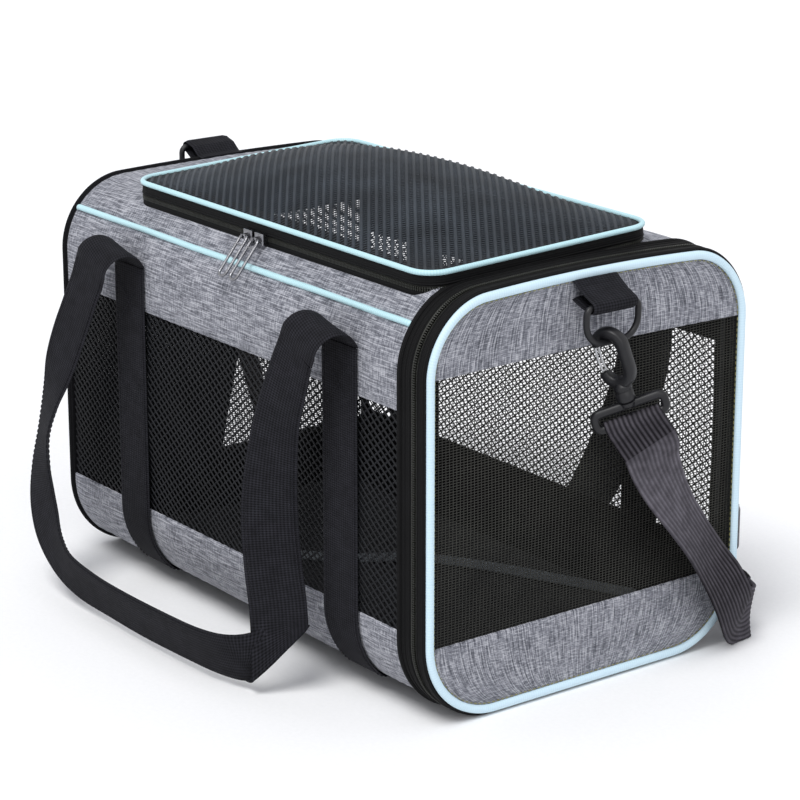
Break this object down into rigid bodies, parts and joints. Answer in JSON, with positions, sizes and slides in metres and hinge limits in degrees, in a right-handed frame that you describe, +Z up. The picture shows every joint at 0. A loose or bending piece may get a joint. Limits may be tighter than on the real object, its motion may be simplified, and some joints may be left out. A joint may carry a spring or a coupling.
{
  "type": "pet transport carrier",
  "caption": "Soft-sided pet carrier with mesh windows, a drop-down front door, a domed top hatch, carry handles and a hooked shoulder strap.",
  "frame": {"origin": "middle of the flat face that the bag stands on", "axes": "+X runs along the bag to the front door, +Y to the far side where the top hatch is hinged, +Z up"},
  "size_m": [0.519, 0.4495, 0.3268],
  "materials": {
    "heather_cloth": "woven polyester, melange grey",
    "black_mesh": "open netting",
    "black_cloth": "woven polyester",
    "aqua_piping": "satin",
    "black_webbing": "ribbed webbing",
    "charcoal_webbing": "ribbed webbing",
    "spring_steel": "drawn wire",
    "board": "matte",
    "fleece": "brushed pile",
    "zipper_coil": "satin",
    "slider_metal": "polished",
    "black_plastic": "satin moulded"
  },
  "bodies": {
    "carrier": {"top_panel": "heather_cloth", "near_upper_band": "heather_cloth", "far_upper_band": "heather_cloth", "near_side_mesh": "black_mesh", "far_side_mesh": "black_mesh", "near_lower_band": "heather_cloth", "far_lower_band": "heather_cloth", "near_piping": "aqua_piping", "far_piping": "aqua_piping", "bottom_panel": "black_cloth", "base_board": "board", "floor_pad": "fleece", "rear_binding": "black_cloth", "rear_frame_wire": "spring_steel", "rear_upper_band": "heather_cloth", "rear_mesh": "black_mesh", "rear_lower_band": "heather_cloth", "front_gusset": "black_cloth", "front_zipper_bag_half": "zipper_coil", "front_frame_wire": "spring_steel", "near_handle_legs": "black_webbing", "far_handle_legs": "black_webbing", "hatch_curb": "black_cloth", "hatch_zipper_bag_half": "zipper_coil", "rear_tab": "black_webbing", "safety_leash": "charcoal_webbing", "shoulder_strap_middle": "charcoal_webbing"},
    "front_door": {"door_upper_band": "heather_cloth", "door_lower_band": "heather_cloth", "door_mesh": "black_mesh", "door_piping": "aqua_piping", "door_gusset": "black_cloth", "front_zipper_door_half": "zipper_coil", "door_frame_wire": "spring_steel", "front_tab": "black_webbing"},
    "top_hatch": {"hatch_zipper_lid_half": "zipper_coil", "hatch_gusset": "black_cloth", "hatch_piping": "aqua_piping", "hatch_mesh": "black_mesh"},
    "near_handle": {"near_handle": "black_webbing"},
    "far_handle": {"far_handle": "black_webbing"},
    "hatch_slider_rear": {"hatch_slider_rear": "slider_metal"},
    "hatch_slider_front": {"hatch_slider_front": "slider_metal"},
    "hatch_pull_rear": {"hatch_pull_rear": "slider_metal"},
    "hatch_pull_front": {"hatch_pull_front": "slider_metal"},
    "door_slider": {"door_slider": "slider_metal"},
    "door_pull": {"door_pull": "slider_metal"},
    "front_ring": {"front_ring": "black_plastic"},
    "front_snap_hook": {"front_snap_hook": "black_plastic"},
    "front_hook_gate": {"front_hook_gate": "black_plastic"},
    "front_strap_eye": {"front_strap_eye": "black_plastic", "shoulder_strap_front": "charcoal_webbing"},
    "rear_ring": {"rear_ring": "black_plastic"},
    "rear_snap_hook": {"rear_snap_hook": "black_plastic"},
    "rear_hook_gate": {"rear_hook_gate": "black_plastic"},
    "rear_strap_eye": {"rear_strap_eye": "black_plastic", "shoulder_strap_rear": "charcoal_webbing"},
    "strap_adjuster": {"strap_adjuster": "black_plastic"},
    "leash_clip": {"leash_clip": "slider_metal"}
  },
  "joints": [
    {"name": "front_door_hinge", "type": "hinge", "parent": "carrier", "child": "front_door", "pos_m": [0.2126, 0, 0.0015], "axis": [0, 1, 0], "range_deg": [0, 80]},
    {"name": "top_hatch_hinge", "type": "hinge", "parent": "carrier", "child": "top_hatch", "pos_m": [0.025, 0.07289, 0.28732], "axis": [-1, 0, 0], "range_deg": [0, 105]},
    {"name": "near_handle_fold", "type": "hinge", "parent": "carrier", "child": "near_handle", "pos_m": [0, -0.156, 0.262], "axis": [-1, 0, 0], "range_deg": [0, 165]},
    {"name": "far_handle_fold", "type": "hinge", "parent": "carrier", "child": "far_handle", "pos_m": [0, 0.156, 0.262], "axis": [1, 0, 0], "range_deg": [0, 165]},
    {"name": "hatch_slider_rear_slide", "type": "slide", "parent": "carrier", "child": "hatch_slider_rear", "axis": [1, 0, 0], "range_m": [-0.105, 0]},
    {"name": "hatch_slider_front_slide", "type": "slide", "parent": "carrier", "child": "hatch_slider_front", "axis": [1, 0, 0], "range_m": [0, 0.14]},
    {"name": "hatch_pull_rear_swing", "type": "hinge", "parent": "hatch_slider_rear", "child": "hatch_pull_rear", "pos_m": [-0.0005, -0.12121, 0.28112], "axis": [-1, 0, 0], "range_deg": [0, 100]},
    {"name": "hatch_pull_front_swing", "type": "hinge", "parent": "hatch_slider_front", "child": "hatch_pull_front", "pos_m": [0.0125, -0.12121, 0.28112], "axis": [-1, 0, 0], "range_deg": [0, 100]},
    {"name": "door_slider_slide", "type": "slide", "parent": "carrier", "child": "door_slider", "axis": [0, 0, 1], "range_m": [-0.025, 0.125]},
    {"name": "door_pull_swing", "type": "hinge", "parent": "door_slider", "child": "door_pull", "pos_m": [0.2039, 0.1426, 0.092], "axis": [1, 0, 0], "range_deg": [0, 110]},
    {"name": "front_ring_swing", "type": "hinge", "parent": "front_door", "child": "front_ring", "pos_m": [0.2335, 0, 0.2645], "axis": [0, -1, 0], "range_deg": [0, 40]},
    {"name": "front_hook_swing", "type": "hinge", "parent": "front_ring", "child": "front_snap_hook", "pos_m": [0.2335, -0.003, 0.2405], "axis": [0, -1, 0], "range_deg": [0, 40]},
    {"name": "front_gate_spring", "type": "hinge", "parent": "front_snap_hook", "child": "front_hook_gate", "pos_m": [0.22691, -0.00101, 0.22156], "axis": [-0.3037, 0.9308, 0.2036], "range_deg": [0, 25], "stiffness_Nm_per_rad": 0.02, "springref_deg": -17.19},
    {"name": "front_eye_swivel", "type": "hinge", "parent": "front_snap_hook", "child": "front_strap_eye", "pos_m": [0.2335, -0.003, 0.2405], "axis": [0.1603, 0.2606, -0.952], "range_deg": [0, 20]},
    {"name": "rear_ring_swing", "type": "hinge", "parent": "carrier", "child": "rear_ring", "pos_m": [-0.2305, 0, 0.29], "axis": [0, 1, 0], "range_deg": [0, 40]},
    {"name": "rear_hook_swing", "type": "hinge", "parent": "rear_ring", "child": "rear_snap_hook", "pos_m": [-0.2305, 0, 0.266], "axis": [0, 1, 0], "range_deg": [0, 40]},
    {"name": "rear_gate_spring", "type": "hinge", "parent": "rear_snap_hook", "child": "rear_hook_gate", "pos_m": [-0.22077, 0.00211, 0.24847], "axis": [-0.233, -0.9417, -0.2427], "range_deg": [0, 25], "stiffness_Nm_per_rad": 0.02, "springref_deg": -17.19},
    {"name": "rear_eye_swivel", "type": "hinge", "parent": "rear_snap_hook", "child": "rear_strap_eye", "pos_m": [-0.2305, 0, 0.266], "axis": [0, -0.2496, 0.9684], "range_deg": [0, 20]},
    {"name": "strap_adjuster_slide", "type": "slide", "parent": "carrier", "child": "strap_adjuster", "axis": [1, 0, 0], "range_m": [-0.05, 0]},
    {"name": "leash_clip_lift", "type": "hinge", "parent": "carrier", "child": "leash_clip", "pos_m": [-0.0606, -0.04, 0.02325], "axis": [0, 1, 0], "range_deg": [0, 90]}
  ]
}
